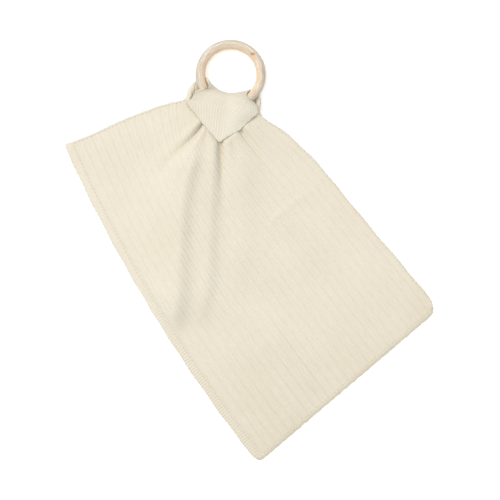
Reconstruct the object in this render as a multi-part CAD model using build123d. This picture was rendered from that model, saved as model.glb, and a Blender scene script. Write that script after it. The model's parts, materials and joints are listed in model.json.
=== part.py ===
from build123d import *
from math import asin, cos, degrees, radians, sin
import os

# A wooden teething ring with a knitted comfort cloth. One corner of the cloth is drawn up through
# the ring from behind and folded down over the front, so that the cloth hangs from the ring.
# Millimetres, lying on a flat surface at Z = 0 with the ring towards +Y. The origin is under the
# middle of the footprint. The outline is drawn from the ring's centre and moved there at the end.

# ---- wooden ring ----
ring_outer_diameter = 70.0
ring_section_diameter = 9.4
ring_path_radius = (ring_outer_diameter - ring_section_diameter) / 2
ring_section_radius = ring_section_diameter / 2

# ---- knitted fabric ----
knit_thickness = 2.5
hem_width = 6.0
hem_thickness = 3.6
corner_radius = 9.0
sharp_corner_radius = 4.0

# ---- the sleeve of fabric where the corner goes round the ring ----
wrap_running_gap = 0.3
wrap_half_angle = 52.0
wrap_middle_angle = -103.0
wrap_inner_radius = ring_section_radius + wrap_running_gap
wrap_outer_radius = wrap_inner_radius + knit_thickness
floor_gap_under_wrap = 0.05

# ---- the cloth's outline, from the ring's centre ----
top_edge_start = (-44.7, -24.5)
top_edge_middle = (-106.0, -42.8)
left_corner = (-167.0, -69.5)
left_edge_middle = (-80.3, -235.3)
bottom_corner = (26.9, -388.7)
right_corner = (208.0, -234.5)
right_edge_points = [(168.0, -184.5), (104.0, -109.0), (64.0, -64.5)]
right_edge_start = (27.8, -39.0)
left_shoulder = (-43.2, -14.0)
right_shoulder = (30.8, -29.0)
ring_recess_radius = 37.0
left_shoulder_angle = -169.0
right_shoulder_angle = -37.0

# ---- the folded corner, a shield that lies on the cloth below the ring ----
flap_top_left = (-37.5, -37.0)
flap_left_points = [(-32.7, -44.0), (-28.5, -50.0), (-22.2, -61.5)]
flap_tip = (-11.2, -69.5)
flap_right_middle = (6.3, -58.6)
flap_top_right = (21.5, -46.8)
flap_thickness = 2.0
flap_hem_width = 4.0
flap_hem_thickness = 2.6
flap_tip_radius = 2.0

# ---- sewing thread ----
thread_width = 0.7
thread_height = 0.5
thread_inset = 4.4
tack_diameter = 0.7
tack_length = 4.0
tack_pitch = 5.0
tack_count = 5
tack_row_middle = (-5.0, -47.0)
tack_gap = 0.05
flap_base = knit_thickness + tack_diameter + 2 * tack_gap

# The ring leans: its far side touches the surface, and the fabric under its near side lifts it.
wrap_lean_arm = ring_path_radius * (1 + cos(radians(wrap_half_angle)))
ring_tilt = degrees(asin((wrap_outer_radius + floor_gap_under_wrap - ring_section_radius) / wrap_lean_arm))
ring_centre_height = ring_section_radius + ring_path_radius * sin(radians(ring_tilt))
fold_line_turn = wrap_middle_angle + 90.0
ring_place = (
    Pos(0, 0, ring_centre_height) * Rot(0, 0, fold_line_turn) * Rot(-ring_tilt, 0, 0)
)


def on_circle(radius, angle):
    """A point on a circle round the ring's centre."""
    return (radius * cos(radians(angle)), radius * sin(radians(angle)))


def wooden_ring():
    """A turned wooden ring with a round section."""
    return ring_place * Torus(ring_path_radius, ring_section_radius)


def ring_wrap():
    """The fabric round the ring's near side: a bent sleeve that the ring can slide through."""
    section = Circle(wrap_outer_radius) - Circle(wrap_inner_radius)
    placed_section = Plane.XZ * (Pos(ring_path_radius, 0) * section)
    sleeve = revolve(placed_section, Axis.Z, 2 * wrap_half_angle)
    return ring_place * Rot(0, 0, -90 - wrap_half_angle) * sleeve


def cloth_edges():
    """The four sewn edges of the cloth, as curves by name."""
    return {
        "left": ThreePointArc(left_corner, left_edge_middle, bottom_corner),
        "bottom": Line(bottom_corner, right_corner),
        "top": ThreePointArc(top_edge_start, top_edge_middle, left_corner),
        "right": Spline(right_corner, *right_edge_points, right_edge_start),
    }


def cloth_outline(edges):
    """The whole lying outline, with a round recess where the ring and its sleeve are."""
    left_tip = on_circle(ring_recess_radius, left_shoulder_angle)
    right_tip = on_circle(ring_recess_radius, right_shoulder_angle)
    recess_middle = on_circle(ring_recess_radius, wrap_middle_angle)
    curves = [
        edges["left"],
        edges["bottom"],
        edges["right"],
        ThreePointArc(right_edge_start, right_shoulder, right_tip),
        ThreePointArc(right_tip, recess_middle, left_tip),
        ThreePointArc(left_tip, left_shoulder, top_edge_start),
        edges["top"],
    ]
    outline = Sketch() + make_face(curves)
    for corner, radius in (
        (bottom_corner, corner_radius),
        (right_corner, corner_radius),
        (left_corner, sharp_corner_radius),
    ):
        outline = fillet(outline.vertices().sort_by_distance(corner)[0], radius)
    return outline


def hems_in(edges, outline):
    """A folded edge, thicker than the cloth, along each side. A later one stops at an earlier one."""
    hems = {}
    for name, curve in edges.items():
        strip = extrude(trace(curve, 2 * hem_width), hem_thickness) & extrude(outline, hem_thickness)
        for earlier in hems.values():
            strip = strip - earlier
        hems[name] = strip.solids().sort_by(SortBy.VOLUME)[-1]
    return hems


def hem_thread(curve, hem):
    """The line of stitches along a folded edge, lying on top of it."""
    outer = trace(curve, 2 * thread_inset + thread_width)
    inner = trace(curve, 2 * thread_inset - thread_width)
    line = Pos(0, 0, hem_thickness) * extrude(outer - inner, thread_height)
    return line & extrude(hem.faces().sort_by(Axis.Z)[-1], thread_height)


def cloth_panel(outline, hems):
    """The lying cloth inside its hems."""
    cloth = extrude(outline, knit_thickness)
    for hem in hems.values():
        cloth = cloth - hem
    return cloth


def flap_sides():
    """The folded corner's two lower sides, which meet at its tip."""
    left_side = Polyline(flap_top_left, *flap_left_points, flap_tip)
    right_side = ThreePointArc(flap_tip, flap_right_middle, flap_top_right)
    return left_side, right_side


def flap_outline():
    """The shield-shaped folded corner, with its tip downwards."""
    left_side, right_side = flap_sides()
    top_side = Line(flap_top_right, flap_top_left)
    outline = Sketch() + make_face([left_side, right_side, top_side])
    return fillet(outline.vertices().sort_by_distance(flap_tip)[0], flap_tip_radius)


def flap_hem(outline):
    """The folded corner's own sewn edge, along its two lower sides."""
    left_side, right_side = flap_sides()
    band = extrude(trace(left_side, 2 * flap_hem_width), flap_hem_thickness)
    band = band + extrude(trace(right_side, 2 * flap_hem_width), flap_hem_thickness)
    return Pos(0, 0, flap_base) * (band & extrude(outline, flap_hem_thickness))


def corner_flap(outline, edge):
    """The folded corner inside its hem."""
    return Pos(0, 0, flap_base) * extrude(outline, flap_thickness) - edge


def tack_stitches():
    """A row of hidden stitches between the folded corner and the cloth, which hold the corner down."""
    stitches = []
    for index in range(tack_count):
        offset = (index - (tack_count - 1) / 2) * tack_pitch
        place = Pos(tack_row_middle[0], tack_row_middle[1], knit_thickness + tack_gap + tack_diameter / 2)
        turned = place * Rot(0, 0, fold_line_turn) * Pos(offset, 0, 0) * Rot(0, 90, 0)
        stitches.append(turned * Cylinder(tack_diameter / 2, tack_length))
    return Compound(stitches)


def build():
    """Every sub-part by its node name, from the ring's centre."""
    edges = cloth_edges()
    outline = cloth_outline(edges)
    hems = hems_in(edges, outline)
    flap = flap_outline()
    flap_edge = flap_hem(flap)
    parts = {
        "wooden_ring": wooden_ring(),
        "ring_wrap": ring_wrap(),
        "cloth_panel": cloth_panel(outline, hems),
        "corner_flap": corner_flap(flap, flap_edge),
        "flap_hem": flap_edge,
        "tack_stitches": tack_stitches(),
    }
    for name, hem in hems.items():
        parts[name + "_hem"] = hem
        parts[name + "_hem_thread"] = hem_thread(edges[name], hem)
    return parts


parts = build()
footprint = Compound(list(parts.values())).bounding_box()
to_origin = Pos(-footprint.center().X, -footprint.center().Y, 0)

os.makedirs("parts", exist_ok=True)
for name, shape in parts.items():
    export_step(to_origin * shape, f"parts/{name}.step")

swing_point = to_origin * ring_place * Pos(0, -ring_path_radius, 0)
spin_point = to_origin * ring_place
print("footprint", footprint.size)
print("ring centre", spin_point.position, "tilt", ring_tilt)
print("swing point", swing_point.position, "axis", ring_place.x_axis.direction)
print("spin axis", ring_place.z_axis.direction)
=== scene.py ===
import json
import math
from collections import namedtuple

import bpy
import numpy as np
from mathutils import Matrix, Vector


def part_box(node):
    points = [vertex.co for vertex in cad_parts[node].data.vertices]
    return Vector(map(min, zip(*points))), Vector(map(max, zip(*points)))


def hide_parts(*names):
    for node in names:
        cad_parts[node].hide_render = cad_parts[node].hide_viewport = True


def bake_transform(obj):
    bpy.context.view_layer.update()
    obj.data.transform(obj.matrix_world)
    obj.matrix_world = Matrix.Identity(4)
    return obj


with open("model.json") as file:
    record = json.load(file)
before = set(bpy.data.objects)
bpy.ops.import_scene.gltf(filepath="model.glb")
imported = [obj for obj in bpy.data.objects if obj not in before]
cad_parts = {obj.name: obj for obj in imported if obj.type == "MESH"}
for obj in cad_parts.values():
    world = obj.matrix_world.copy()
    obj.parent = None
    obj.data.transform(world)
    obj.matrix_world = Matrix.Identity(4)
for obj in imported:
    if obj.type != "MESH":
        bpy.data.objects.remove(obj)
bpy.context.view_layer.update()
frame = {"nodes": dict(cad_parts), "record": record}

# A wooden teething ring with a knitted comfort cloth. The cloth's outline and folds are given in
# millimetres from the ring's centre, and moved to the frame at the end. Flat positions on the cloth
# are (a, b): a along the ribs from the short edge by the ring, b across them from the long edge on
# the right. The corner (0, 0) is drawn through the ring and is the tip of the folded flap, and
# e = a + b grows from that tip along the drawn-through corner.

MM = 0.001
RING_LOW, RING_HIGH = (np.array(corner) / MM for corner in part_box("wooden_ring"))
RING_CENTRE = (RING_LOW + RING_HIGH) / 2
JOINTS = {joint["name"]: joint for joint in frame["record"]["behaviour"]["joints"]}
SPIN_AXIS = Vector(JOINTS["ring_spin"]["axis"])

# ---------------------------------------------------------------- the cloth, in millimetres
CLOTH_LENGTH = 375.0
CLOTH_WIDTH = 250.0
CLOTH_THICKNESS = 2.1
LYING_HEIGHT = 1.2
RIB_PITCH = 4.6
RIB_DEPTH = 0.2
FAR_RIB_DEPTH = 0.5
TINY = 1e-6
TINIEST = 1e-9

# ---- seen edges of the lying cloth, from the ring's centre ----
LEFT_CORNER = (-167.5, -69.5)
LEFT_EDGE_MIDDLE = (-80.3, -235.3)
BOTTOM_CORNER = (26.9, -388.7)
RIGHT_CORNER = (208.0, -234.5)

# The corner drawn through the ring, as lines across it: e, then the line's places on the left
# selvedge, halfway to the middle, in the middle, halfway to the right selvedge and on it.
TIP = (-11.2, -69.3, 7.6)
KNOT = [
    (0, TIP, TIP, TIP, TIP, TIP),
    (13, (-19.6, -59.8, 7.3), (-15.0, -60.2, 8.8), (-9.9, -60.6, 9.0),
     (-5.4, -61.6, 8.8), (-0.8, -62.6, 7.6)),
    (26, (-28.3, -49.5, 7.0), (-18.9, -50.6, 10.0), (-8.6, -51.0, 10.8),
     (1.2, -53.4, 9.9), (10.6, -55.1, 7.4)),
    (39, (-36.6, -39.0, 6.2), (-22.8, -41.0, 11.4), (-7.4, -41.8, 12.6),
     (7.0, -44.6, 11.6), (20.4, -46.2, 6.4)),
    (50, (-45.6, -27.4, 5.6), (-26.5, -31.5, 12.8), (-6.2, -34.0, 14.4),
     (13.6, -36.4, 12.9), (28.4, -39.0, 7.0)),
    (56, (-40.0, -24.8, 8.0), (-25.0, -25.5, 14.2), (-5.2, -29.5, 14.8),
     (12.8, -31.0, 14.2), (27.8, -35.4, 8.6)),
    (62, (-36.8, -20.2, 10.4), (-22.6, -20.8, 14.8), (-4.2, -25.0, 14.6),
     (11.8, -26.6, 14.7), (27.4, -32.4, 10.0)),
    (68, (-34.0, -16.4, 13.0), (-19.8, -17.6, 14.2), (-3.4, -21.4, 13.0),
     (10.8, -23.2, 13.8), (25.2, -29.6, 12.0)),
    (74, (-26.8, -15.8, 14.0), (-17.2, -16.0, 11.8), (-2.8, -19.4, 10.4),
     (9.2, -20.2, 11.0), (17.4, -25.2, 13.4)),
    (80, (-21.0, -13.6, 9.8), (-14.8, -14.8, 9.0), (-2.6, -18.3, 7.6),
     (9.8, -18.4, 8.6), (15.2, -19.8, 10.0)),
    (86, (-21.0, -7.4, 7.2), (-15.2, -13.0, 6.8), (-2.8, -20.0, 4.4),
     (12.0, -17.0, 7.2), (18.8, -15.7, 7.0)),
    (92, (-25.0, -1.7, 5.2), (-16.6, -11.6, 5.6), (-3.6, -23.4, 2.0),
     (14.2, -17.4, 5.0), (23.2, -13.6, 4.4)),
    (98, (-31.5, -3.4, 1.3), (-20.0, -15.5, 3.2), (-4.4, -28.0, 1.3),
     (14.8, -22.6, 2.2), (26.4, -15.4, 1.4)),
    (104, (-37.2, -7.2, 2.4), (-21.5, -20.0, 1.3), (-5.4, -33.5, 1.3),
     (15.2, -27.5, 1.3), (29.2, -19.6, 2.2)),
    (110, (-42.0, -13.4, 4.0), (-23.5, -27.0, 1.3), (-6.4, -39.5, 1.8),
     (14.6, -34.0, 1.6), (30.0, -26.0, 3.8)),
    (116, (-43.8, -20.0, 4.8), (-26.0, -35.5, 2.4), (-7.4, -46.0, 3.0),
     (13.8, -40.5, 2.6), (29.0, -32.6, 5.2)),
    (122, (-45.8, -24.9, 4.6), (-28.0, -43.5, 4.0), (-8.2, -52.0, 4.0),
     (13.0, -47.0, 4.0), (28.0, -38.6, 5.6)),
]
KNOT_LINES = np.array([row[0] for row in KNOT], float)
KNOT_NET = np.array([row[1:] for row in KNOT])
KNOT_REACH = KNOT_LINES[-1]
LEFT_COLUMN, MIDDLE_COLUMN, RIGHT_COLUMN = 0, 2, 4

# The rest of the short edge by the ring, and of the long edge on the right, from the knot on.
TOP_EDGE = [
    (-58.0, -27.0, 3.8), (-75.5, -31.8, 2.6), (-110.3, -45.2, 1.6),
    (-142.3, -60.1, 1.2), (-167.5, -69.5, 1.2),
]
RIGHT_EDGE = [
    (33.0, -42.4, 5.3), (38.0, -45.6, 4.7), (50.4, -53.2, 3.3), (66.5, -66.6, 2.4),
    (87.9, -88.0, 1.8), (105.8, -109.6, 1.4), (138.8, -149.7, 1.2), (168.3, -184.5, 1.2),
    (195.0, -216.6, 1.2), (208.0, -234.5, 1.2),
]


# ---------------------------------------------------------------- curves and grids
def smoothstep(low, high, x):
    u = np.clip((x - low) / (high - low), 0, 1)
    return u * u * (3 - 2 * u)


def window(rise, fall, x):
    """1 between two smooth steps, 0 before and after them."""
    return smoothstep(*rise, x) * (1 - smoothstep(*fall, x))


def catmull_rom(p0, p1, p2, p3, u):
    """A smooth curve from p1, at u 0, to p2, at u 1."""
    return 0.5 * (
        2 * p1 + (p2 - p0) * u + (2 * p0 - 5 * p1 + 4 * p2 - p3) * u**2
        + (3 * p1 - p0 - 3 * p2 + p3) * u**3
    )


class Path:
    """A smooth curve through points, read by the distance along it."""

    def __init__(self, points, samples=24):
        p = np.array(points, float)
        p = np.vstack([2 * p[0] - p[1], p, 2 * p[-1] - p[-2]])
        u = np.linspace(0, 1, samples, endpoint=False)[:, None]
        runs = [catmull_rom(*p[i:i + 4], u) for i in range(len(p) - 3)]
        self.points = np.vstack(runs + [p[-2][None]])
        steps = np.linalg.norm(np.diff(self.points, axis=0), axis=1)
        self.distance = np.concatenate([[0], np.cumsum(steps)])
        self.length = self.distance[-1]

    def at(self, distance):
        columns = [np.interp(distance, self.distance, c) for c in self.points.T]
        return np.stack(columns, -1)


def arc(start, middle, end, fraction):
    """A gentle arc from start to end through about the middle point, as a parabola."""
    start, middle, end = (np.array(p, float) for p in (start, middle, end))
    f = fraction[:, None]
    return start * (1 - f) + end * f + (middle - (start + end) / 2) * 4 * f * (1 - f)


def cell_of(x, count):
    """The grid cell which holds each place x on an axis of count points, and the place in it."""
    cell = np.clip(np.floor(x).astype(int), 0, count - 2)
    return cell, (x - cell)[..., None]


def grid_read(grid, x, y):
    """A grid of points read at fractional rows x and columns y, smooth from cell to cell."""
    ix, ux = cell_of(x, grid.shape[0])
    iy, uy = cell_of(y, grid.shape[1])
    grid = np.concatenate([2 * grid[:1] - grid[1:2], grid, 2 * grid[-1:] - grid[-2:-1]], 0)
    before, after = 2 * grid[:, :1] - grid[:, 1:2], 2 * grid[:, -1:] - grid[:, -2:-1]
    grid = np.concatenate([before, grid, after], 1)
    rows = [catmull_rom(*(grid[ix + k, iy + m] for m in range(4)), uy) for k in range(4)]
    return catmull_rom(*rows, ux)


def flat_read(grid, a_line, b_line, a, b):
    """A grid whose lines have these flat positions, read at others by straight lines."""
    ix, ux = cell_of(np.interp(a, a_line, np.arange(len(a_line))), len(a_line))
    iy, uy = cell_of(np.interp(b, b_line, np.arange(len(b_line))), len(b_line))
    near = grid[ix, iy] * (1 - uy) + grid[ix, iy + 1] * uy
    far = grid[ix + 1, iy] * (1 - uy) + grid[ix + 1, iy + 1] * uy
    return near * (1 - ux) + far * ux


def edge_distances(a, b):
    """Distances from the short edge by the ring, the far one, the long right and left edges."""
    return a, CLOTH_LENGTH - a, b, CLOTH_WIDTH - b


# ---------------------------------------------------------------- the drawn-through corner
LOOP_RISE = (97.0, 105.0)
LOOP_FALL = (119.0, 130.0)
LOOP_INNER_SIDE = (9, 18)
LOOP_CROWN = 4.4
LOOP_HALF_WIDTH = 4.0
LOOP_HEIGHT = 5.6
RING_PATH_RADIUS = 30.3
BAR_CLEARANCE = 5.75
OVER_BAR_END = 74
BEHIND_BAR_START = 84
PLUMP_INSIDE = 8.8
PLUMP_OUTSIDE = 3.6
PLUMP_RISE = (78, 86)
PLUMP_FALL_INSIDE = (99, 107)
PLUMP_FALL_OUTSIDE = (112, 120)


def knot_row(e):
    """The fractional row of the knot's net at e."""
    return np.interp(e, KNOT_LINES, np.arange(len(KNOT_LINES)))


def knot(a, b):
    """The drawn-through corner, with its rims puffed up where they pass outside the ring."""
    e = np.maximum(a + b, TINY)
    across = MIDDLE_COLUMN + MIDDLE_COLUMN * (a - b) / e
    point = grid_read(KNOT_NET, knot_row(e), across)
    from_edge = np.minimum(a, b)
    crown = np.exp(-(((from_edge - LOOP_CROWN) / LOOP_HALF_WIDTH) ** 2))
    puffed = LYING_HEIGHT + LOOP_HEIGHT * crown
    share = window(LOOP_RISE, LOOP_FALL, e) * (1 - smoothstep(*LOOP_INNER_SIDE, from_edge))
    point[..., 2] += share * (puffed - point[..., 2])
    return point


def bar_place(p):
    """The bar's centre height over or under each point, and the point's distance outwards from
    the bar's centre line."""
    x, y = p[..., 0], p[..., 1]
    bar_z = RING_CENTRE[2] - (SPIN_AXIS.x * x + SPIN_AXIS.y * y) / SPIN_AXIS.z
    return bar_z, np.hypot(x, y) - RING_PATH_RADIUS


def bar_room(outward):
    """The height which the bar and the cloth's half thickness take up at a distance outwards."""
    return np.sqrt(np.clip(BAR_CLEARANCE**2 - outward**2, 0, None))


def pushed_off_ring(p):
    """Moves the cloth the shortest way out of the ring's bar."""
    bar_z, outward = bar_place(p)
    rise = p[..., 2] - bar_z
    from_bar = np.maximum(np.hypot(outward, rise), TINY)
    push = np.maximum(BAR_CLEARANCE / from_bar - 1, 0)
    radius = np.hypot(p[..., 0], p[..., 1])
    p[..., :2] *= (1 + push * outward / radius)[..., None]
    p[..., 2] = np.maximum(p[..., 2] + push * rise, LYING_HEIGHT)
    return p


def clear_of_ring(p, e):
    """Keeps the cloth over the ring's bar above it, and the cloth behind the bar below it."""
    bar_z, outward = bar_place(p)
    room = bar_room(outward)
    over = (room > 0) & (e < OVER_BAR_END)
    behind = (room > 0) & (e > BEHIND_BAR_START)
    p[..., 2] = np.where(over, np.maximum(p[..., 2], bar_z + room), p[..., 2])
    below = np.maximum(bar_z - room, LYING_HEIGHT)
    p[..., 2] = np.where(behind, np.minimum(p[..., 2], below), p[..., 2])
    return pushed_off_ring(p)


def plumped(p, e):
    """Raises the cloth behind the ring towards it, most where it shows inside the ring."""
    bar_z, outward = bar_place(p)
    room = bar_room(outward)
    inside = outward < 0
    below = np.maximum(bar_z - room, LYING_HEIGHT)
    height = np.where(inside, below, np.minimum(PLUMP_OUTSIDE, below))
    height = np.where(inside & (room == 0), PLUMP_INSIDE, height)
    share = np.where(
        inside, window(PLUMP_RISE, PLUMP_FALL_INSIDE, e), window(PLUMP_RISE, PLUMP_FALL_OUTSIDE, e)
    )
    p[..., 2] += share * np.maximum(height - p[..., 2], 0)
    return p


def relaxed(p, share, passes):
    """The surface evened out where share is above 0."""
    for _ in range(passes):
        q = np.pad(p, ((1, 1), (1, 1), (0, 0)), mode="edge")
        q[0], q[-1] = 2 * q[1] - q[2], 2 * q[-2] - q[-3]
        q[:, 0], q[:, -1] = 2 * q[:, 1] - q[:, 2], 2 * q[:, -2] - q[:, -3]
        mean = (q[2:, 1:-1] + q[:-2, 1:-1] + q[1:-1, 2:] + q[1:-1, :-2]) / 4
        p = p + share[..., None] * (mean - p)
    return p


# ---------------------------------------------------------------- the lying cloth
SPREAD_ROUNDS = 700
OVER_RELAXATION = 1.9


def selvedge(column, rest, length, distance):
    """An edge of the cloth read at flat distances from the flap's tip."""
    tail = Path([KNOT_NET[-1, column]] + rest)
    position = (distance - KNOT_REACH) * tail.length / (length - KNOT_REACH)
    row = knot_row(distance)
    near = grid_read(KNOT_NET, row, np.full(row.shape, float(column)))
    return np.where((distance > KNOT_REACH)[:, None], tail.at(position), near)


def lying(line):
    """A seen edge at the height of the lying cloth."""
    return np.column_stack([line, np.full(len(line), LYING_HEIGHT)])


def lying_grid(a_line, b_line):
    """XYZ of the whole cloth on a regular grid of flat positions: its edges and its knotted corner
    are given, and the rest spreads evenly between them."""
    a, b = np.meshgrid(a_line, b_line, indexing="ij")
    fa, fb = a_line / CLOTH_LENGTH, b_line / CLOTH_WIDTH
    left = lying(arc(LEFT_CORNER, LEFT_EDGE_MIDDLE, BOTTOM_CORNER, fa))
    middle = (np.array(RIGHT_CORNER) + BOTTOM_CORNER) / 2
    bottom = lying(arc(RIGHT_CORNER, middle, BOTTOM_CORNER, fb))
    top = selvedge(LEFT_COLUMN, TOP_EDGE, CLOTH_WIDTH, b_line)
    right = selvedge(RIGHT_COLUMN, RIGHT_EDGE, CLOTH_LENGTH, a_line)
    share = fb[:, None]
    p = (1 - share) * right[:, None] + share * left[:, None]
    p[0], p[-1], p[:, 0], p[:, -1] = top, bottom, right, left
    fixed = a + b <= KNOT_REACH
    p[fixed] = knot(np.minimum(a, KNOT_REACH), np.minimum(b, KNOT_REACH))[fixed]
    fixed[0], fixed[-1], fixed[:, 0], fixed[:, -1] = True, True, True, True
    i, j = np.indices(fixed.shape)
    colours = [~fixed & ((i + j) % 2 == colour) for colour in (0, 1)]
    for _ in range(SPREAD_ROUNDS):
        for mine in colours:
            mean = np.zeros_like(p)
            mean[1:-1, 1:-1] = (p[2:, 1:-1] + p[:-2, 1:-1] + p[1:-1, 2:] + p[1:-1, :-2]) / 4
            p[mine] += OVER_RELAXATION * (mean[mine] - p[mine])
    return p


# A fold follows its points. deep and shallow are its depths at its two ends, narrow and wide its
# half widths there, and a negative depth makes a ridge. square says how flat its bottom is, and
# left how much wider its left side is.
Fold = namedtuple("Fold", "points deep shallow narrow wide square left", defaults=(2, 1))
CREASES = [
    # the deep fold from the flap's left side
    Fold([(-25.0, -45.5), (-38.0, -62.6), (-51.7, -77.0), (-64.7, -91.0), (-82.0, -113.0)],
         4.8, 0.4, 1.7, 6.0),
    # the deep crease under the tip
    Fold([(-11.0, -58.0), (-9.4, -85.0), (-7.8, -110.0), (-6.5, -150.0)], 5.0, 0.0, 3.0, 5.0, 3),
    # the one from the flap's right side
    Fold([(6.0, -51.0), (12.0, -58.5), (23.0, -71.5), (37.0, -90.7), (46.0, -112.0)],
         4.4, 0.4, 2.4, 7.0),
]
FOLDS = CREASES + [
    # the long ridges which fall away to the right, one beyond the other
    Fold([(-26.0, -52.0), (-36.0, -76.0), (-40.5, -90.0), (-45.0, -105.0), (-49.5, -130.0),
          (-51.5, -156.0), (-53.0, -183.0), (-54.0, -209.0), (-58.0, -235.0), (-66.5, -258.0),
          (-80.0, -285.0)], -6.0, -9.2, 7.0, 14.0, 2, 3.9),
    Fold([(-14.0, -55.0), (-18.0, -75.0), (-19.0, -95.0), (-21.0, -125.0), (-22.5, -156.0),
          (-23.5, -183.0), (-26.0, -209.0), (-31.0, -235.0), (-40.0, -262.0)],
         -4.4, -5.0, 6.0, 11.5, 2, 4.4),
    # a low swell right of the crease under the tip
    Fold([(4.0, -70.0), (10.0, -100.0), (13.0, -140.0), (11.0, -180.0), (6.0, -225.0)],
         -2.0, -1.2, 11.0, 14.0, 2, 0.9),
    # two soft waves towards the far edge
    Fold([(30.0, -235.0), (47.0, -262.0), (68.0, -290.0), (92.0, -322.0)],
         -0.6, -2.0, 5.0, 6.5, 2, 1.6),
    Fold([(-66.0, -245.0), (-50.0, -275.0), (-32.0, -304.0), (-6.0, -340.0)],
         -1.2, -1.8, 5.0, 6.0, 2, 1.6),
    # two shallow valleys there, along the ribs
    Fold([(39.0, -275.0), (54.0, -297.0), (69.0, -320.0), (88.0, -346.0)], 0.9, 1.6, 4.0, 5.0),
    Fold([(-41.0, -277.0), (-16.0, -310.0), (9.0, -337.0), (36.0, -368.0)], 0.9, 1.4, 3.5, 4.5),
    # a crosswise crease
    Fold([(38.0, -148.0), (50.0, -138.0), (66.0, -125.0), (80.0, -116.0)], -1.1, -0.6, 2.4, 3.0),
]
FOLD_PATH_STRIDE = 6
FOLD_FADE_POWER = 1.3
FOLD_END = (0.8, 1.0)
RIDGE_START = (0, 0.2)
BANK_HEIGHT = 0.45
BANK_PLACE = 2.3
BANK_WIDTH = 1.2
KNOT_MIDDLE = np.array((-7.0, -46.0))
SWELL_HEIGHT = 6.2
SWELL_REACH = 62.0
SWELL_POWER = 1.6
PATCH_HEIGHT = 0.5
PATCH_WAVES = ((23, 61, 0.0), (-70, 37, 1.0))
WAVE_HEIGHT = 0.35
WAVE_LENGTH = 11.0
WAVE_DIRECTION = (0.85, 0.53)
WAVE_RISE = (60, 200)
FLOOR_SOFTNESS = 0.6
FLAP_TIP = np.array((-11.2, -69.3))
FLAP_SIDES = (np.array((-45.6, -27.4)), np.array((28.0, -39.2)))
UNDER_FLAP_HEIGHT = 4.9
LID_RISE = 8
LID_REACH = (-1.0, 9.0)
# Painted shade in the creases: its width in the folds and at the flap's sides, where it starts
# along the drawn-through corner, and its spots round the ring's gaps.
CREASE_SHADE_NARROWING = 1.5
FLAP_SIDE_SHADE_WIDTH = 1.1
CREASE_SHADE_RISE = (KNOT_REACH - 6, KNOT_REACH + 4)
SHADED_RING_GAPS = ((-36.0, -15.0), (24.5, -29.0))
RING_GAP_SHADE_REACH = 3.4
RING_GAP_SHADE_RISE = (88, 96)


def nearest_on(points, x, y):
    """Signed distance from a 2-D path through points, and how far along it, from 0 to 1."""
    pts = Path(points).points[::FOLD_PATH_STRIDE]
    best = np.full(x.shape, np.inf)
    along = np.zeros(x.shape)
    side = np.zeros(x.shape)
    count = len(pts) - 1
    for k in range(count):
        d = pts[k + 1] - pts[k]
        u = np.clip(((x - pts[k, 0]) * d[0] + (y - pts[k, 1]) * d[1]) / (d @ d), 0, 1)
        ex, ey = x - pts[k, 0] - u * d[0], y - pts[k, 1] - u * d[1]
        distance = np.hypot(ex, ey)
        closer = distance < best
        best = np.where(closer, distance, best)
        along = np.where(closer, (k + u) / count, along)
        side = np.where(closer, np.sign(d[0] * ey - d[1] * ex), side)
    return best * side, along


def outside_flap(x, y):
    """Distance outside the flap's two sides, negative under it."""
    distances = []
    for corner, turn in zip(FLAP_SIDES, (1, -1)):
        d = (corner - FLAP_TIP) / np.linalg.norm(corner - FLAP_TIP)
        distances.append(turn * (d[0] * (y - FLAP_TIP[1]) - d[1] * (x - FLAP_TIP[0])))
    return np.maximum(*distances)


def fold_lift(fold, x, y):
    """How much a fold lifts the cloth at each place. A valley has a low bank on each side."""
    distance, along = nearest_on(fold.points, x, y)
    depth = fold.deep * (1 - along) ** FOLD_FADE_POWER + fold.shallow * along
    width = fold.narrow + (fold.wide - fold.narrow) * along
    width = width * np.where(distance < 0, fold.left, 1.0)
    ends = 1 - smoothstep(*FOLD_END, along)
    shape = -np.exp(-(np.abs(distance / width) ** fold.square))
    if fold.deep < 0:
        return depth * (ends * smoothstep(*RIDGE_START, along)) * shape
    from_bank = (np.abs(distance) - BANK_PLACE * width) / (BANK_WIDTH * width)
    bank = BANK_HEIGHT * (1 - along) * np.exp(-(from_bank**2))
    return depth * ends * (bank + shape)


def fold_height(x, y):
    """Height of the lying cloth's middle surface above the floor at a place on it."""
    away = np.hypot(x - KNOT_MIDDLE[0], y - KNOT_MIDDLE[1])
    z = SWELL_HEIGHT * np.exp(-((away / SWELL_REACH) ** SWELL_POWER))
    for fold in FOLDS:
        z = z + fold_lift(fold, x, y)
    patch = PATCH_HEIGHT
    for x_length, y_length, shift in PATCH_WAVES:
        patch = patch * np.sin(x / x_length + y / y_length + shift)
    z = z + patch
    run = x * WAVE_DIRECTION[0] + y * WAVE_DIRECTION[1]
    z = z + WAVE_HEIGHT * np.sin(run / WAVE_LENGTH) * smoothstep(*WAVE_RISE, away)
    z = FLOOR_SOFTNESS * np.log1p(np.exp(z / FLOOR_SOFTNESS))
    lid = UNDER_FLAP_HEIGHT + LID_RISE * smoothstep(*LID_REACH, outside_flap(x, y))
    return LYING_HEIGHT + np.minimum(z, lid)


def crease_shade_share(p, e):
    """How much painted shade each place gets, from 0 to 1, by how far it lies down in the folds by
    the flap, at the flap's sides and in the gaps where the ring goes into the knot."""
    x, y = p[..., 0], p[..., 1]
    share = np.exp(-((outside_flap(x, y) / FLAP_SIDE_SHADE_WIDTH) ** 2))
    for fold in CREASES:
        distance, along = nearest_on(fold.points, x, y)
        width = fold.narrow + (fold.wide - fold.narrow) * along
        depth = np.exp(-((CREASE_SHADE_NARROWING * distance / width) ** 2))
        share = np.maximum(share, (1 - along) ** 2 * depth)
    share *= smoothstep(*CREASE_SHADE_RISE, e)
    for gap_x, gap_y in SHADED_RING_GAPS:
        near = np.exp(-((x - gap_x) ** 2 + (y - gap_y) ** 2) / RING_GAP_SHADE_REACH**2)
        share = np.maximum(share, near * smoothstep(*RING_GAP_SHADE_RISE, e))
    return share


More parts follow.
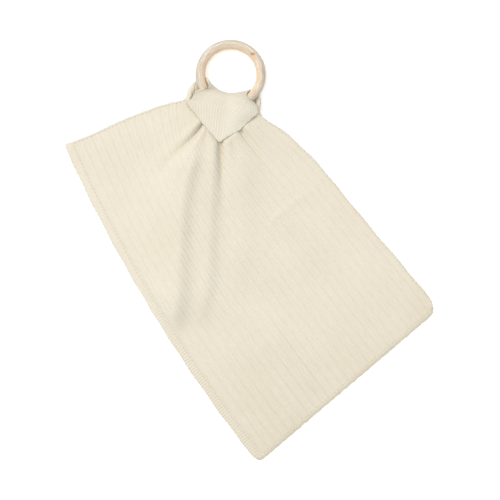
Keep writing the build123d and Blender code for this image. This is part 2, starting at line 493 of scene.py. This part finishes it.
# ---------------------------------------------------------------- the whole middle surface
# CORNER_ROUNDING has each corner's radius by whether it is far along a, and far along b.
COARSE_STEP = 2.5
FINE_LENGTH = 156.0
FINE_STEP = 1.2
FAR_LINES = 92
RIB_SAMPLES = 5
LYING_RISE = (KNOT_REACH - 18, KNOT_REACH + 22)
CALM_EDGE = 22
THROUGH_RING_RISE = (62, 74)
THROUGH_RING_FALL = (104, 114)
RELAX_SHARE = 0.8
RELAX_PASSES = 4
RELAX_ROUNDS = 7
DENT_REACH = 4
RIB_DENT = 0.14
END_LOOPS = (0.14, 1.9, 2, 17)
SIDE_LOOPS = (0.3, 0.9, 2, 13)
SIDE_WAVES = (0.35, 6.3, 1, 31)
CORNER_ROUNDING = {(0, 1): 4.0, (1, 1): 9.0, (1, 0): 13.0, (0, 0): 2.5}


def ripple(x, depth, length, drift, drift_length):
    """Dents from 0 to twice the depth along an edge, whose spacing drifts."""
    return depth * (1 + np.sin(x / length + drift * np.sin(x / drift_length)))


def uneven_edges(a, b):
    """Flat positions moved so that the edges are scalloped by the ribs and loops."""
    end_dent = RIB_DENT * (1 + np.sin(math.pi * b / RIB_PITCH)) + ripple(b, *END_LOOPS)
    side_dent = ripple(a, *SIDE_LOOPS) + ripple(a, *SIDE_WAVES)
    near, far, right, left = (1 - smoothstep(0, DENT_REACH, d) for d in edge_distances(a, b))
    return a + end_dent * (near - far), b + side_dent * (right - left)


def round_corners(a, b):
    """Flat positions moved so that the cut's corners are round."""
    for (far_a, far_b), r in CORNER_ROUNDING.items():
        u = CLOTH_LENGTH - a if far_a else a
        v = CLOTH_WIDTH - b if far_b else b
        near = (u < r) & (v < r)
        px, py = np.clip(1 - u / r, TINIEST, 1), np.clip(1 - v / r, TINIEST, 1)
        shrink = np.maximum(px, py) / np.hypot(px, py)
        nu, nv = r * (1 - px * shrink), r * (1 - py * shrink)
        a = np.where(near, CLOTH_LENGTH - nu if far_a else nu, a)
        b = np.where(near, CLOTH_WIDTH - nv if far_b else nv, b)
    return a, b


def coarse_surface():
    """The cloth's middle surface with its folds, on a coarse grid of flat positions."""
    a_line = np.arange(0, CLOTH_LENGTH + COARSE_STEP / 2, COARSE_STEP)
    b_line = np.arange(0, CLOTH_WIDTH + COARSE_STEP / 2, COARSE_STEP)
    p = lying_grid(a_line, b_line)
    a, b = np.meshgrid(a_line, b_line, indexing="ij")
    z = p[..., 2]
    calm = smoothstep(0, CALM_EDGE, np.minimum.reduce(edge_distances(a, b)))
    folded = z * (1 - calm) + fold_height(p[..., 0], p[..., 1]) * calm
    share = smoothstep(*LYING_RISE, a + b)
    p[..., 2] = np.maximum(z * (1 - share) + folded * share, LYING_HEIGHT)
    return p


def cloth_middle_surface():
    """The cloth's middle surface on a fine grid whose lines run along and across the ribs."""
    a_line = np.concatenate([
        np.arange(0, FINE_LENGTH, FINE_STEP), np.linspace(FINE_LENGTH, CLOTH_LENGTH, FAR_LINES),
    ])
    b_line = np.linspace(0, CLOTH_WIDTH, int(round(CLOTH_WIDTH / RIB_PITCH * RIB_SAMPLES)) + 1)
    a, b = np.meshgrid(a_line, b_line, indexing="ij")
    cut_a, cut_b = round_corners(*uneven_edges(a, b))
    e = cut_a + cut_b
    fine = grid_read(coarse_surface(), cut_a / COARSE_STEP, cut_b / COARSE_STEP)
    fine = plumped(clear_of_ring(fine, e), e)
    share = RELAX_SHARE * window(THROUGH_RING_RISE, THROUGH_RING_FALL, e)
    for _ in range(RELAX_ROUNDS):
        fine = pushed_off_ring(relaxed(fine, share, RELAX_PASSES))
    return a, b, fine


# ---------------------------------------------------------------- the knitted cloth's mesh
# Hem widths and the depths of their stitch lines, in the order of edge_distances().
HEM_WIDTHS = (2.4, 4.6, 2.4, 9.0)
STITCH_DEPTHS = (0.12, 0.22, 0.12, 0.25)
HEM_SOFTNESS = 0.7
HEM_RELIEF = 0.3
STITCH_LINE_WIDTH = 0.8
FAR_END = (285, 350)
FAR_LEFT = (90, 150)
RIB_ROUNDNESS = 2.2
RIB_EXTRA_DEPTH = 0.45
LEAST_SPREAD = 0.15
FLAP_END = (44, 62)
RIM_WIDTH = 1.2
FLAP_RIM_EXTRA = 1.0
RIM_THIN = 0.35
FLAP_RIM_THINNER = 0.15
UNDER_SIDE_INSET = 0.1


def grid_normals(p):
    """Unit normals of a grid surface, and the distance between its lines along the ribs."""
    along, across = np.gradient(p, axis=0), np.gradient(p, axis=1)
    n = np.cross(across, along)
    length = np.linalg.norm(n, axis=-1, keepdims=True)
    return n / np.maximum(length, TINIEST), np.linalg.norm(across, axis=-1)


def hems(a, b):
    """How much each place belongs to a hem, and how deep the line of stitches presses in."""
    hem = np.zeros(a.shape)
    groove = np.zeros(a.shape)
    for distance, width, depth in zip(edge_distances(a, b), HEM_WIDTHS, STITCH_DEPTHS):
        inside = 1 - smoothstep(width - HEM_SOFTNESS, width + HEM_SOFTNESS, distance)
        hem = np.maximum(hem, inside)
        pressed = depth * np.exp(-(((distance - width) / STITCH_LINE_WIDTH) ** 2))
        groove = np.maximum(groove, pressed)
    return hem, groove


def rib_height(b):
    """Height of the ribs from 0 in a valley to 1 on top, with every second valley deeper."""
    swing = np.cos(np.pi * (b / RIB_PITCH))
    top = 1 - np.abs(swing) ** RIB_ROUNDNESS
    deeper = 0.5 + 0.5 * swing
    return top - RIB_EXTRA_DEPTH * deeper * (1 - top)


def cloth_sides(a, b, middle):
    """The cloth's upper and lower surfaces round its middle one, with ribs, hems and a rounded
    rim, and how spread out the knit is, from 0 to 1."""
    normal, across = grid_normals(middle)
    spread = np.clip(across / (b[0, 1] - b[0, 0]), LEAST_SPREAD, 1)
    hem, groove = hems(a, b)
    far = smoothstep(*FAR_END, a) * smoothstep(*FAR_LEFT, b)
    depth = RIB_DEPTH + (FAR_RIB_DEPTH - RIB_DEPTH) * far
    ribs = depth * rib_height(b) * spread**3 * (1 - hem)
    on_flap = 1 - smoothstep(*FLAP_END, a + b)
    edge = np.minimum.reduce(edge_distances(a, b))
    inward = np.clip(edge / (RIM_WIDTH + FLAP_RIM_EXTRA * on_flap), 0, 1)
    rounding = np.sqrt(inward * (2 - inward))
    thin = RIM_THIN - FLAP_RIM_THINNER * on_flap
    half = CLOTH_THICKNESS / 2 * (thin + (1 - thin) * rounding)
    relief = ribs + HEM_RELIEF * hem * rounding - groove
    upper = middle + normal * (half + relief)[..., None]
    lower = middle - normal * (half - UNDER_SIDE_INSET)[..., None]
    return upper, lower, spread


def closed_faces(rows, columns):
    """Faces of an upper grid, of a lower one whose points come after it, and of the rim."""
    count = rows * columns
    index = np.arange(count).reshape(rows, columns)
    corners = (index[:-1, :-1], index[:-1, 1:], index[1:, 1:], index[1:, :-1])
    upper = np.stack(corners, -1).reshape(-1, 4)
    rim = np.concatenate([index[0, :-1], index[:-1, -1], index[-1, :0:-1], index[:0:-1, 0]])
    around = np.roll(rim, -1)
    side = np.stack([rim + count, around + count, around, rim], -1)
    return upper, upper[:, ::-1] + count, side


def linked_mesh(name, vertices, faces):
    """A smooth object in the scene from points in millimetres."""
    mesh = bpy.data.meshes.new(name)
    mesh.from_pydata((np.array(vertices) * MM).tolist(), [], faces)
    mesh.validate()
    mesh.shade_smooth()
    piece = bpy.data.objects.new(name, mesh)
    bpy.context.scene.collection.objects.link(piece)
    return piece


def build_cloth():
    """The knitted cloth, and the stitches on it."""
    a, b, middle = cloth_middle_surface()
    upper, lower, spread = cloth_sides(a, b, middle)
    points = np.vstack([upper.reshape(-1, 3), lower.reshape(-1, 3)])
    points[:, 2] = np.maximum(points[:, 2], 0.0)
    points[:, :2] += RING_CENTRE[:2]
    faces = closed_faces(*a.shape)
    cloth = linked_mesh("knitted_cloth", points, np.vstack(faces).tolist())
    mesh = cloth.data
    flat = np.tile(np.stack([a.ravel(), b.ravel()], -1), (2, 1))
    loops = np.zeros(len(mesh.loops), int)
    mesh.loops.foreach_get("vertex_index", loops)
    mesh.uv_layers.new(name="flat").data.foreach_set("uv", (flat[loops] * MM).ravel())
    mesh.polygons.foreach_set("material_index", np.repeat([0, 1, 0], [len(f) for f in faces]))
    # painted shade for the creases, on the upper side only
    shaded_in_creases = crease_shade_share(middle, a + b)
    sides = {"drawn_in": (spread, spread), "crease_shade": (shaded_in_creases, np.zeros(a.shape))}
    for name, values in sides.items():
        field = mesh.attributes.new(name=name, type="FLOAT", domain="POINT")
        field.data.foreach_set("value", np.ravel(values))
    return cloth, build_stitches(a[:, 0], b[0], upper)


# ---------------------------------------------------------------- threads
THREAD_LENGTH = 2.7
THREAD_PITCH = 4.0
THREAD_RADIUS = 0.32
THREAD_SIDES = 6
THREAD_END = 0.55
SIDEWAYS_OF = (0.05, 0.03, 1.0)
STITCH_POINTS = 5
STITCH_LIFT = 0.3
STITCH_DIP = 0.5
STITCH_DIP_POWER = 4
SHORT_SPAN = (126.0, CLOTH_WIDTH - 11)
FAR_SPAN = (4.0, CLOTH_WIDTH - 11)
RIGHT_SPAN = (130.0, CLOTH_LENGTH - 14)
LEFT_SPAN = (5.0, CLOTH_LENGTH - 7)
TACK_COUNT = 5
TACK_FOOT = 3.5
TACK_RUN = (1.2, 0.8, 6.5)


def stitch_lines():
    """Flat positions of the stitches round the hems: each row has one stitch's points."""
    rows = []
    steps = np.linspace(-0.5, 0.5, STITCH_POINTS) * THREAD_LENGTH
    short, far, right, left = HEM_WIDTHS
    for place, span, along in (
        (short, SHORT_SPAN, False), (CLOTH_LENGTH - far, FAR_SPAN, False),
        (right, RIGHT_SPAN, True), (CLOTH_WIDTH - left, LEFT_SPAN, True),
    ):
        for middle in np.arange(*span, THREAD_PITCH):
            run = middle + steps
            still = np.full(run.shape, place)
            rows.append((run, still) if along else (still, run))
    return np.array(rows)


def tube_mesh(name, paths):
    """Round threads along short paths, each an array of points, closed at both ends."""
    vertices, faces = [], []
    turns = range(THREAD_SIDES)
    for path in paths:
        start = len(vertices)
        last = start + (len(path) - 1) * THREAD_SIDES
        tangent = np.gradient(path, axis=0)
        tangent /= np.linalg.norm(tangent, axis=1, keepdims=True)
        side = np.cross(tangent, SIDEWAYS_OF)
        side /= np.linalg.norm(side, axis=1, keepdims=True)
        up = np.cross(side, tangent)
        for k, centre in enumerate(path):
            r = THREAD_RADIUS * (THREAD_END if k in (0, len(path) - 1) else 1.0)
            for turn in turns:
                angle = 2 * math.pi * turn / THREAD_SIDES
                vertices.append(centre + r * (math.cos(angle) * side[k] + math.sin(angle) * up[k]))
        for row in range(start, last, THREAD_SIDES):
            for turn in turns:
                first, second = row + turn, row + (turn + 1) % THREAD_SIDES
                faces.append((first, first + THREAD_SIDES, second + THREAD_SIDES, second))
        faces.append(tuple(start + turn for turn in turns))
        faces.append(tuple(last + turn for turn in reversed(turns)))
    return linked_mesh(name, vertices, faces)


def build_stitches(along, across, upper):
    """Stitches lying on the hems, their ends dipping into the knit."""
    a, b = stitch_lines().transpose(1, 0, 2)
    paths = flat_read(upper, along, across, a, b)
    dip = np.linspace(-1, 1, STITCH_POINTS) ** STITCH_DIP_POWER
    paths[..., 2] += STITCH_LIFT - STITCH_DIP * dip
    paths[..., :2] += RING_CENTRE[:2]
    return tube_mesh("hem_stitches", paths)


def build_tacks():
    """The hidden stitches which hold the folded flap down on the cloth under it."""
    low, high = (np.array(corner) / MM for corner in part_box("tack_stitches"))
    rise = np.linspace(0, 1, STITCH_POINTS)[:, None]
    paths = []
    for k in range(TACK_COUNT):
        share = (k + 0.5) / TACK_COUNT
        x = low[0] + share * (high[0] - low[0])
        y = high[1] + share * (low[1] - high[1])
        paths.append(np.array((x, y, TACK_FOOT)) + rise * TACK_RUN)
    return tube_mesh("flap_tacks", paths)


# ---------------------------------------------------------------- shader building
MIX_INPUTS = (0, 6, 7)
MIX_OUTPUT = 2


def new_material(name):
    """A new material, its node tree and its shader."""
    material = bpy.data.materials.new(name)
    material.use_nodes = True
    nodes = material.node_tree.nodes
    nodes.clear()
    output = nodes.new("ShaderNodeOutputMaterial")
    shader = nodes.new("ShaderNodeBsdfPrincipled")
    material.node_tree.links.new(shader.outputs[0], output.inputs[0])
    return material, material.node_tree, shader


def finish_shader(tree, shader, colour, **values):
    """The colour and the plain values of a material."""
    join(tree, colour, shader.inputs["Base Color"])
    for name, value in values.items():
        shader.inputs[name.replace("_", " ")].default_value = value


def join(tree, value, socket):
    """A value or another node's output into a socket."""
    if isinstance(value, bpy.types.NodeSocket):
        tree.links.new(value, socket)
    else:
        socket.default_value = value


def math_node(tree, operation, *values):
    node = tree.nodes.new("ShaderNodeMath")
    node.operation = operation
    for value, socket in zip(values, node.inputs):
        join(tree, value, socket)
    return node.outputs[0]


def times(tree, first, second):
    return math_node(tree, "MULTIPLY", first, second)


def plus(tree, first, second):
    return math_node(tree, "ADD", first, second)


def minus(tree, first, second):
    return math_node(tree, "SUBTRACT", first, second)


def scaled(tree, value, factor, offset):
    """A value times a factor, plus an offset."""
    return math_node(tree, "MULTIPLY_ADD", value, factor, offset)


def from_zero(tree, value):
    """A value from -1 to 1 brought to 0 to 1."""
    return scaled(tree, value, 0.5, 0.5)


def sum_of_squares(tree, x, y):
    return math_node(tree, "MULTIPLY_ADD", x, x, times(tree, y, y))


def total(tree, base, weights, **values):
    """A base plus each named value by its weight."""
    result = base
    for name, weight in weights.items():
        result = plus(tree, result, times(tree, values[name], weight))
    return result


def wave(tree, value, pitch, shift=0.0):
    """A wave from 0 to 1 with the given pitch."""
    turn = plus(tree, times(tree, value, 2 * math.pi / pitch), shift)
    return from_zero(tree, math_node(tree, "SINE", turn))


def step(tree, value, low, high):
    """0 below low, 1 above high, smooth between."""
    node = tree.nodes.new("ShaderNodeMapRange")
    node.interpolation_type = "SMOOTHSTEP"
    for number, socket in zip((value, low, high), node.inputs):
        join(tree, number, socket)
    return node.outputs[0]


def noise(tree, vector, scale, detail=2.0, w=None):
    """Noise of about -0.5 to 0.5, in 4-D when w is given."""
    node = tree.nodes.new("ShaderNodeTexNoise")
    if w is not None:
        node.noise_dimensions = "4D"
        join(tree, w, node.inputs["W"])
    join(tree, vector, node.inputs["Vector"])
    node.inputs["Scale"].default_value = scale
    node.inputs["Detail"].default_value = detail
    return minus(tree, node.outputs[0], 0.5)


def combine(tree, x, y, z):
    node = tree.nodes.new("ShaderNodeCombineXYZ")
    for value, socket in zip((x, y, z), node.inputs):
        join(tree, value, socket)
    return node.outputs[0]


def separate(tree, vector):
    """A vector's three numbers."""
    node = tree.nodes.new("ShaderNodeSeparateXYZ")
    tree.links.new(vector, node.inputs[0])
    return node.outputs


def blend_colour(tree, fraction, first, second):
    """A mix of two colours. A mix node has a set of sockets for each type it can mix."""
    node = tree.nodes.new("ShaderNodeMix")
    node.data_type = "RGBA"
    for value, place in zip((fraction, first, second), MIX_INPUTS):
        join(tree, value, node.inputs[place])
    return node.outputs[MIX_OUTPUT]


def add_bump(tree, shader, height, distance, strength):
    node = tree.nodes.new("ShaderNodeBump")
    node.inputs["Strength"].default_value = strength
    node.inputs["Distance"].default_value = distance
    join(tree, height, node.inputs["Height"])
    tree.links.new(node.outputs[0], shader.inputs["Normal"])


def object_place(tree):
    """The place in the object's own space, in metres."""
    return tree.nodes.new("ShaderNodeTexCoord").outputs["Object"]


def flat_position(tree):
    """The flat position on the cloth, in millimetres."""
    uv = tree.nodes.new("ShaderNodeUVMap")
    uv.uv_map = "flat"
    u, v, _ = separate(tree, uv.outputs[0])
    return times(tree, u, 1 / MM), times(tree, v, 1 / MM)


def attribute(tree, name):
    """A value stored on the cloth."""
    node = tree.nodes.new("ShaderNodeAttribute")
    node.attribute_name = name
    return node.outputs["Fac"]


# ---------------------------------------------------------------- the knit
STITCH_PITCH = 2.0
STITCH_LEAN = 2.2
OPEN_KNIT = (0.35, 1.0)
VALLEY_SHARPNESS = 3.0
HEM_ROW_PITCH = 2.8
HEM_ROWS_RISE = (90.0, 250.0)
HEM_ROWS_LEAST = 0.35
FAR_SHADE_LEAN = 0.25
FAR_SHADE = (300.0, 400.0)
WALE_PITCH = 3.54
DASH_PITCH = 2.3
RUNG_PITCH = 2.6
FLAP_RIGHT = (-6.0, 16.0)
FLAP_FAR_LEFT = (-26.0, -40.0)
# Where the painted light on the flap's right side, and near its tip, fades out along e.
FLAP_LIGHT_END = (66.0, 50.0)
TIP_LIGHT_END = (70.0, 20.0)
FLAP_HEM = (2.6, 2.0)
KNIT_LIGHT = (0.607, 0.567, 0.474, 1)
KNIT_SHADE = (0.449, 0.395, 0.292, 1)
# The next colour and its strength are painted shade: a warm, darker colour laid into the creases
# and the ring's gaps.
KNIT_CREASE_SHADE = (0.58, 0.48, 0.325, 1)
CREASE_SHADE_TINT = 0.75
FUZZ_SCALE = 0.9
FUZZ_DETAIL = 3.0
YARN_SCALE = 0.5
YARN_STRETCH = 0.25
BROAD_SCALE = 0.018

# Weights of each part of a pattern in its lightness and in its height.
BASE_LIGHT = 0.78
BASE_HEIGHT = 0.5
# In the ribbed side's lightness, the valley and deeper weights are painted shade in the rib
# valleys.
RIBBED_LIGHT = {
    "valley": -0.02, "deeper": -0.05, "dash": -0.11, "row": -0.34, "hem_rows": 0.15, "hem": -0.06,
    # painted shade, darker towards the far end
    "far": -0.1,
}
RIBBED_HEIGHT = {"valley": -0.2, "deeper": -0.18, "dash": -0.16, "row": -0.5}
# The reverse's last two lightness weights are painted light, on the flap's right side and near its
# tip.
SMOOTH_LIGHT = {
    "wales": -0.28, "dashes": -0.26, "rungs": -0.24, "edge": -0.06, "turned": 0.22, "point": 0.15,
}
SMOOTH_HEIGHT = {"wales": -0.4, "dashes": -0.45, "rungs": -0.3, "edge": 0.25}
YARN_LIGHT = {"fuzz": 0.4, "yarn": 0.35, "broad": 0.35}
YARN_HEIGHT = {"fuzz": 0.5, "yarn": 0.3}
FIBRE_SCALE = 900.0
FIBRE_DETAIL = 3.0
THREAD_LIGHT = 0.7
FIBRE_LIGHT = {"fibre": 0.9}


def hem_share(tree, a, b):
    """1 on the hems, 0 elsewhere."""
    hem = 0.0
    short, far, right, left = HEM_WIDTHS
    for value, edge, width in (
        (a, 0, short), (b, 0, right), (a, CLOTH_LENGTH, far), (b, CLOTH_WIDTH, left),
    ):
        low, high = abs(edge - width - HEM_SOFTNESS), abs(edge - width + HEM_SOFTNESS)
        hem = math_node(tree, "MAXIMUM", hem, step(tree, value, low, high))
    return hem


def ribbed_pattern(tree, a, b):
    """How light the ribbed side is, and its small relief: valleys between the ribs with painted
    shade in them, every second one deeper, rows of little dashes along each rib, plain rows on the
    hems, and painted shade towards the far end."""
    swing = math_node(tree, "COSINE", times(tree, b, math.pi / RIB_PITCH))
    depth = math_node(tree, "ABSOLUTE", swing)
    open_knit = step(tree, attribute(tree, "drawn_in"), *OPEN_KNIT)
    # painted shade in the rib valleys, only where the knit is spread open
    valley = times(tree, math_node(tree, "POWER", depth, VALLEY_SHARPNESS), open_knit)
    deeper = times(tree, valley, from_zero(tree, swing))
    dash = wave(tree, a, STITCH_PITCH, times(tree, depth, STITCH_LEAN))
    dash = times(tree, dash, scaled(tree, open_knit, -1.0, 2.0))
    hem = hem_share(tree, a, b)
    clear_rows = scaled(tree, step(tree, a, *HEM_ROWS_RISE), 1 - HEM_ROWS_LEAST, HEM_ROWS_LEAST)
    hem_rows = times(tree, hem, clear_rows)
    row = times(tree, wave(tree, a, HEM_ROW_PITCH), hem_rows)
    # painted shade: darker towards the far end, a little more on the left
    far = step(tree, scaled(tree, b, FAR_SHADE_LEAN, a), *FAR_SHADE)
    field = minus(tree, 1.0, hem)
    valley, deeper, dash = (times(tree, value, field) for value in (valley, deeper, dash))
    parts = {"valley": valley, "deeper": deeper, "dash": dash, "row": row}
    light = total(tree, BASE_LIGHT, RIBBED_LIGHT, hem_rows=hem_rows, hem=hem, far=far, **parts)
    return light, total(tree, BASE_HEIGHT, RIBBED_HEIGHT, **parts)


def smooth_pattern(tree, a, b):
    """The same for the reverse: fine wales up the folded flap, dashes on its right, rungs on its
    far left, and painted light on the flap's right side and near its tip."""
    slant, reach = minus(tree, a, b), plus(tree, a, b)
    right = step(tree, slant, *FLAP_RIGHT)
    dash = times(tree, wave(tree, a, DASH_PITCH), wave(tree, b, DASH_PITCH))
    parts = {
        "wales": times(tree, wave(tree, slant, WALE_PITCH), minus(tree, 1.0, right)),
        "dashes": times(tree, dash, right),
        "rungs": times(tree, wave(tree, reach, RUNG_PITCH), step(tree, slant, *FLAP_FAR_LEFT)),
        "edge": step(tree, math_node(tree, "MINIMUM", a, b), *FLAP_HEM),
    }
    # painted light on the flap's right side and near its tip, where they face away from the key
    # light
    turned = times(tree, right, step(tree, reach, *FLAP_LIGHT_END))
    point = step(tree, reach, *TIP_LIGHT_END)
    light = total(tree, BASE_LIGHT, SMOOTH_LIGHT, turned=turned, point=point, **parts)
    return light, total(tree, BASE_HEIGHT, SMOOTH_HEIGHT, **parts)


def knit_material(name, pattern):
    material, tree, shader = new_material(name)
    a, b = flat_position(tree)
    light, height = pattern(tree, a, b)
    place = combine(tree, a, b, 0.0)
    fuzz = noise(tree, place, FUZZ_SCALE, FUZZ_DETAIL)
    yarn = noise(tree, combine(tree, times(tree, a, YARN_STRETCH), b, 0.0), YARN_SCALE)
    broad = noise(tree, place, BROAD_SCALE)
    light = total(tree, light, YARN_LIGHT, fuzz=fuzz, yarn=yarn, broad=broad)
    height = total(tree, height, YARN_HEIGHT, fuzz=fuzz, yarn=yarn)
    colour = blend_colour(tree, light, KNIT_SHADE, KNIT_LIGHT)
    # painted shade laid into the creases
    crease_shade = times(tree, attribute(tree, "crease_shade"), CREASE_SHADE_TINT)
    colour = blend_colour(tree, crease_shade, colour, KNIT_CREASE_SHADE)
    finish_shader(tree, shader, colour, Roughness=0.92, Specular_IOR_Level=0.2,
                  Sheen_Weight=0.15, Sheen_Roughness=0.6)
    add_bump(tree, shader, height, distance=0.0007, strength=0.8)
    return material


def thread_material():
    """Twisted cotton in the cloth's colour."""
    material, tree, shader = new_material("thread")
    fibre = noise(tree, object_place(tree), FIBRE_SCALE, FIBRE_DETAIL)
    light = total(tree, THREAD_LIGHT, FIBRE_LIGHT, fibre=fibre)
    colour = blend_colour(tree, light, KNIT_SHADE, KNIT_LIGHT)
    finish_shader(tree, shader, colour, Roughness=0.8, Sheen_Weight=0.1)
    add_bump(tree, shader, fibre, distance=0.0002, strength=0.6)
    return material


# ---------------------------------------------------------------- the wood
WOOD_LIGHT = (0.625, 0.55, 0.45, 1)
WOOD_DARK = (0.40, 0.32, 0.235, 1)
# The inner and outer colours are painted shade on the ring's sides: warm inside, grey-brown
# outside.
WOOD_INNER_SHADE = (0.70, 0.505, 0.31, 1)
WOOD_OUTER_SHADE = (0.40, 0.35, 0.285, 1)
WOOD_FLECK = (0.36, 0.15, 0.05, 1)
STREAK_SCALE = 1.6
GRAIN = (1.7, 0.75, 5.0)
PORES = (5.0, 2.6, 2.0)
STREAK_BASE = 0.45
STREAK_WEIGHTS = {"grain": 2.2, "pore": 1.1}
INNER_SIDE = (-0.8, -4.6)
INNER_SHADE_TINT = 0.75
OUTER_SIDE = (1.4, 4.6)
OUTER_SHADE_TINT = 0.6
FLECK_PLACE = (22.2, 20.2)
FLECK_SQUEEZE = (0.45, 0.75)
FLECK_RIM = (1.7, 0.5)
FLECK_TINT = 0.8


def streaks(tree, around, outward, z, round_ring, across_ring, detail):
    """Noise drawn out round the ring, by its fineness round it and across it."""
    cosine, sine = (times(tree, value, round_ring) for value in around)
    place = combine(tree, cosine, sine, times(tree, outward, across_ring))
    return noise(tree, place, STREAK_SCALE, detail, times(tree, z, across_ring))


def wood_material(centre):
    """Pale beech: grain running round the ring and one small fleck, with painted shade, warm on the
    inner side and greyer on the outer side.
    """
    material, tree, shader = new_material("beech")
    offset = tree.nodes.new("ShaderNodeVectorMath")
    offset.operation = "SUBTRACT"
    join(tree, object_place(tree), offset.inputs[0])
    join(tree, centre, offset.inputs[1])
    x, y, z = (times(tree, value, 1 / MM) for value in separate(tree, offset.outputs[0]))
    radius = math_node(tree, "SQRT", sum_of_squares(tree, x, y))
    outward = minus(tree, radius, RING_PATH_RADIUS)
    around = [math_node(tree, "DIVIDE", value, radius) for value in (x, y)]
    grain = streaks(tree, around, outward, z, *GRAIN)
    pore = streaks(tree, around, outward, z, *PORES)
    streak = total(tree, STREAK_BASE, STREAK_WEIGHTS, grain=grain, pore=pore)
    colour = blend_colour(tree, step(tree, streak, 0.0, 1.0), WOOD_DARK, WOOD_LIGHT)
    from_fleck = sum_of_squares(tree, *(
        times(tree, minus(tree, value, place), squeeze)
        for value, place, squeeze in zip((x, y), FLECK_PLACE, FLECK_SQUEEZE)
    ))
    # painted shade on the inner and outer sides; the fleck is a mark in the wood itself
    for value, edge, tint, shade in (
        (outward, INNER_SIDE, INNER_SHADE_TINT, WOOD_INNER_SHADE),
        (outward, OUTER_SIDE, OUTER_SHADE_TINT, WOOD_OUTER_SHADE),
        (from_fleck, FLECK_RIM, FLECK_TINT, WOOD_FLECK),
    ):
        colour = blend_colour(tree, times(tree, step(tree, value, *edge), tint), colour, shade)
    finish_shader(tree, shader, colour, Roughness=0.5, Specular_IOR_Level=0.35)
    add_bump(tree, shader, streak, distance=0.0002, strength=0.35)
    return material


# ---------------------------------------------------------------- stage, in metres
FLOOR_SIZE = 6
CAMERA_HEIGHT = 2.0
CAMERA_VIEW = 0.5
SENSOR_WIDTH_MM = 36
FLOOR_COLOUR = (0.98, 0.98, 0.98, 1)
WORLD_COLOUR = (1, 1, 1, 1)
WORLD_LIGHT = 0.70


def make_stage():
    bpy.ops.mesh.primitive_plane_add(size=FLOOR_SIZE, location=(0, 0, 0))
    floor = bpy.context.object
    floor.name = "floor"
    material, tree, shader = new_material("floor")
    finish_shader(tree, shader, FLOOR_COLOUR, Roughness=0.9)
    floor.data.materials.append(material)


def area_light(name, place, size, power):
    """A square light which points at the middle of the floor."""
    data = bpy.data.lights.new(name, "AREA")
    data.size = size
    data.energy = power
    light = bpy.data.objects.new(name, data)
    light.location = place
    light.rotation_euler = (-Vector(place)).to_track_quat("-Z", "Y").to_euler()
    bpy.context.scene.collection.objects.link(light)


def make_lights():
    area_light("key", place=(-1.9, 1.7, 2.6), size=1.4, power=78)
    area_light("fill", place=(1.1, -0.6, 1.6), size=1.6, power=4)
    area_light("top", place=(-0.1, 0.1, 2.3), size=0.8, power=20)
    world = bpy.data.worlds.new("studio")
    world.use_nodes = True
    background = world.node_tree.nodes["Background"]
    background.inputs["Color"].default_value = WORLD_COLOUR
    background.inputs["Strength"].default_value = WORLD_LIGHT
    bpy.context.scene.world = world


def make_camera():
    """Straight above the middle of the footprint, with half a metre in view."""
    data = bpy.data.cameras.new("camera")
    data.sensor_width = SENSOR_WIDTH_MM
    data.lens = SENSOR_WIDTH_MM * CAMERA_HEIGHT / CAMERA_VIEW
    camera = bpy.data.objects.new("camera", data)
    camera.location = (0, 0, CAMERA_HEIGHT)
    bpy.context.scene.collection.objects.link(camera)
    bpy.context.scene.camera = camera


make_camera()
make_stage()
make_lights()
bpy.context.scene.view_settings.view_transform = "Standard"

cloth, stitches = build_cloth()
cloth.data.materials.append(knit_material("knit", ribbed_pattern))
cloth.data.materials.append(knit_material("knit_reverse", smooth_pattern))
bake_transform(cloth)
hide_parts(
    "cloth_panel", "corner_flap", "flap_hem", "ring_wrap",
    "left_hem", "bottom_hem", "right_hem", "top_hem",
)

thread = thread_material()
stitches.data.materials.append(thread)
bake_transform(stitches)
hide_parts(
    "left_hem_thread", "bottom_hem_thread", "right_hem_thread", "top_hem_thread",
)

tacks = build_tacks()
tacks.data.materials.append(thread)
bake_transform(tacks)
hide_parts("tack_stitches")

ring = frame["nodes"]["wooden_ring"]
ring.data.materials.clear()
ring.data.materials.append(wood_material(ring.matrix_world.inverted() @ Vector(RING_CENTRE * MM)))
